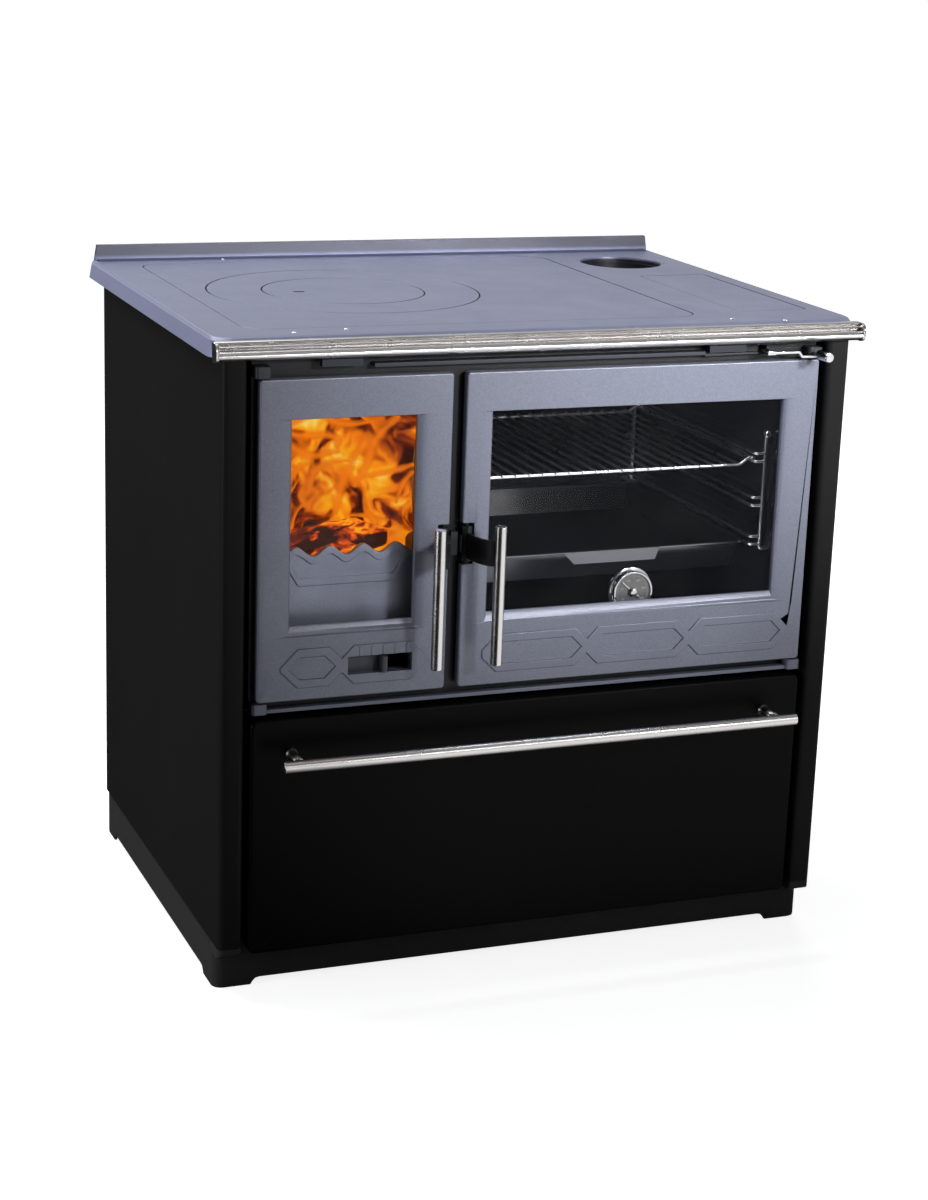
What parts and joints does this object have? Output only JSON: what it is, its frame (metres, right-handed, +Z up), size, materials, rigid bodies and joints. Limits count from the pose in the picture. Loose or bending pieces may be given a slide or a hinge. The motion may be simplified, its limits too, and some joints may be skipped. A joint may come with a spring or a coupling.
{
  "type": "wood-burning cookstove",
  "caption": "Free-standing wood cookstove: cast-iron top with lift-out plates over a glazed firebox and a glazed oven, wood drawer below, steel casing on a plinth.",
  "frame": {"origin": "on the floor, at the centre of the footprint's bounding box", "axes": "+X to the right of a person facing the stove, +Y into the stove from its front, +Z up"},
  "size_m": [0.876, 0.7124, 0.872],
  "materials": {
    "grey_cast_iron": "blue-grey metallic stove paint on fine-grained cast iron",
    "top_cast_iron": "machined cast iron with a blue-grey temper colour",
    "black_enamel": "satin black enamel on folded sheet",
    "side_enamel": "anthracite enamel on sheet steel",
    "plinth_paint": "matt textured anthracite paint",
    "stainless_steel": "brushed stainless steel",
    "chrome": "bright chrome plate",
    "dark_steel": "dark heat-resistant paint on steel",
    "black_iron": "black painted iron",
    "fire_iron": "raw cast iron burnt by the fire",
    "rope_seal": "woven glass-fibre rope",
    "door_glass": "clear glass-ceramic",
    "oven_enamel": "glossy black vitreous enamel"
  },
  "bodies": {
    "stove": {"plinth": "plinth_paint", "floor_plate": "dark_steel", "corner_cap_right": "plinth_paint", "corner_cap_left": "plinth_paint", "side_panel_right": "side_enamel", "side_panel_left": "side_enamel", "back_panel": "dark_steel", "front_frame": "grey_cast_iron", "latch_keeper": "dark_steel", "firebox_hinge_rod": "dark_steel", "oven_hinge_rod": "dark_steel", "heat_shield": "dark_steel", "top_frame": "top_cast_iron", "front_rail": "stainless_steel", "flue_collar": "grey_cast_iron", "flue_clamp": "stainless_steel", "firebox_shell": "dark_steel", "firebox_lining_left": "fire_iron", "firebox_lining_right": "fire_iron", "firebox_lining_rear": "fire_iron", "fire_grate": "fire_iron", "fire_guard": "grey_cast_iron", "ash_pan": "dark_steel", "smoke_box": "dark_steel", "oven_box": "oven_enamel", "oven_guide_left": "chrome", "oven_guide_right": "chrome", "wire_shelf": "chrome", "baking_tray": "oven_enamel", "drawer_runner_right": "dark_steel", "drawer_runner_left": "dark_steel"},
    "firebox_door": {"firebox_door": "grey_cast_iron", "firebox_glass": "door_glass", "firebox_glass_retainer": "dark_steel", "firebox_door_seal": "rope_seal", "firebox_handle_pin": "black_iron", "air_slide_keeper": "dark_steel"},
    "firebox_handle": {"firebox_handle_lever": "black_iron", "firebox_handle_rod": "stainless_steel"},
    "air_slide": {"air_slide": "grey_cast_iron"},
    "oven_door": {"oven_door": "grey_cast_iron", "oven_glass": "door_glass", "oven_glass_retainer": "dark_steel", "oven_door_seal": "rope_seal", "oven_handle_pin": "black_iron", "thermometer_case": "chrome"},
    "oven_handle": {"oven_handle_lever": "black_iron", "oven_handle_rod": "stainless_steel"},
    "thermometer_needle": {"thermometer_needle": "chrome"},
    "drawer": {"drawer_front": "black_enamel", "drawer_box": "dark_steel", "drawer_plate": "dark_steel", "drawer_handle": "stainless_steel"},
    "flue_damper": {"damper_rod": "dark_steel", "damper_knob": "chrome", "damper_plate": "dark_steel"},
    "hotplate": {"hotplate": "top_cast_iron"},
    "hotplate_ring": {"hotplate_ring": "top_cast_iron"},
    "hotplate_disc": {"hotplate_disc": "top_cast_iron"},
    "soot_cover": {"soot_cover": "top_cast_iron"}
  },
  "joints": [
    {"name": "firebox_door_hinge", "type": "hinge", "parent": "stove", "child": "firebox_door", "pos_m": [-0.372, -0.29275, 0.595], "axis": [0, 0, -1], "range_deg": [0, 110]},
    {"name": "firebox_handle_pivot", "type": "hinge", "parent": "firebox_door", "child": "firebox_handle", "pos_m": [-0.136, -0.29275, 0.58], "axis": [0, 0, 1], "range_deg": [0, 28]},
    {"name": "air_slide_travel", "type": "slide", "parent": "firebox_door", "child": "air_slide", "axis": [1, 0, 0], "range_m": [-0.031, 0.033]},
    {"name": "oven_door_hinge", "type": "hinge", "parent": "stove", "child": "oven_door", "pos_m": [0.375, -0.29275, 0.595], "axis": [0, 0, 1], "range_deg": [0, 110]},
    {"name": "oven_handle_pivot", "type": "hinge", "parent": "oven_door", "child": "oven_handle", "pos_m": [-0.104, -0.29275, 0.58], "axis": [0, 0, -1], "range_deg": [0, 28]},
    {"name": "thermometer_needle_pivot", "type": "hinge", "parent": "oven_door", "child": "thermometer_needle", "pos_m": [0.139, -0.27975, 0.495], "axis": [0, 1, 0], "range_deg": [0, 240]},
    {"name": "drawer_slide", "type": "slide", "parent": "stove", "child": "drawer", "axis": [0, -1, 0], "range_m": [0, 0.4]},
    {"name": "flue_damper_slide", "type": "slide", "parent": "stove", "child": "flue_damper", "axis": [0, -1, 0], "range_m": [0, 0.09]},
    {"name": "hotplate_lift", "type": "slide", "parent": "stove", "child": "hotplate", "axis": [0, 0, 1], "range_m": [0, 0.15]},
    {"name": "hotplate_ring_lift", "type": "slide", "parent": "hotplate", "child": "hotplate_ring", "axis": [0, 0, 1], "range_m": [0, 0.12]},
    {"name": "hotplate_disc_lift", "type": "slide", "parent": "hotplate_ring", "child": "hotplate_disc", "axis": [0, 0, 1], "range_m": [0, 0.12]},
    {"name": "soot_cover_lift", "type": "slide", "parent": "stove", "child": "soot_cover", "axis": [0, 0, 1], "range_m": [0, 0.12]}
  ]
}
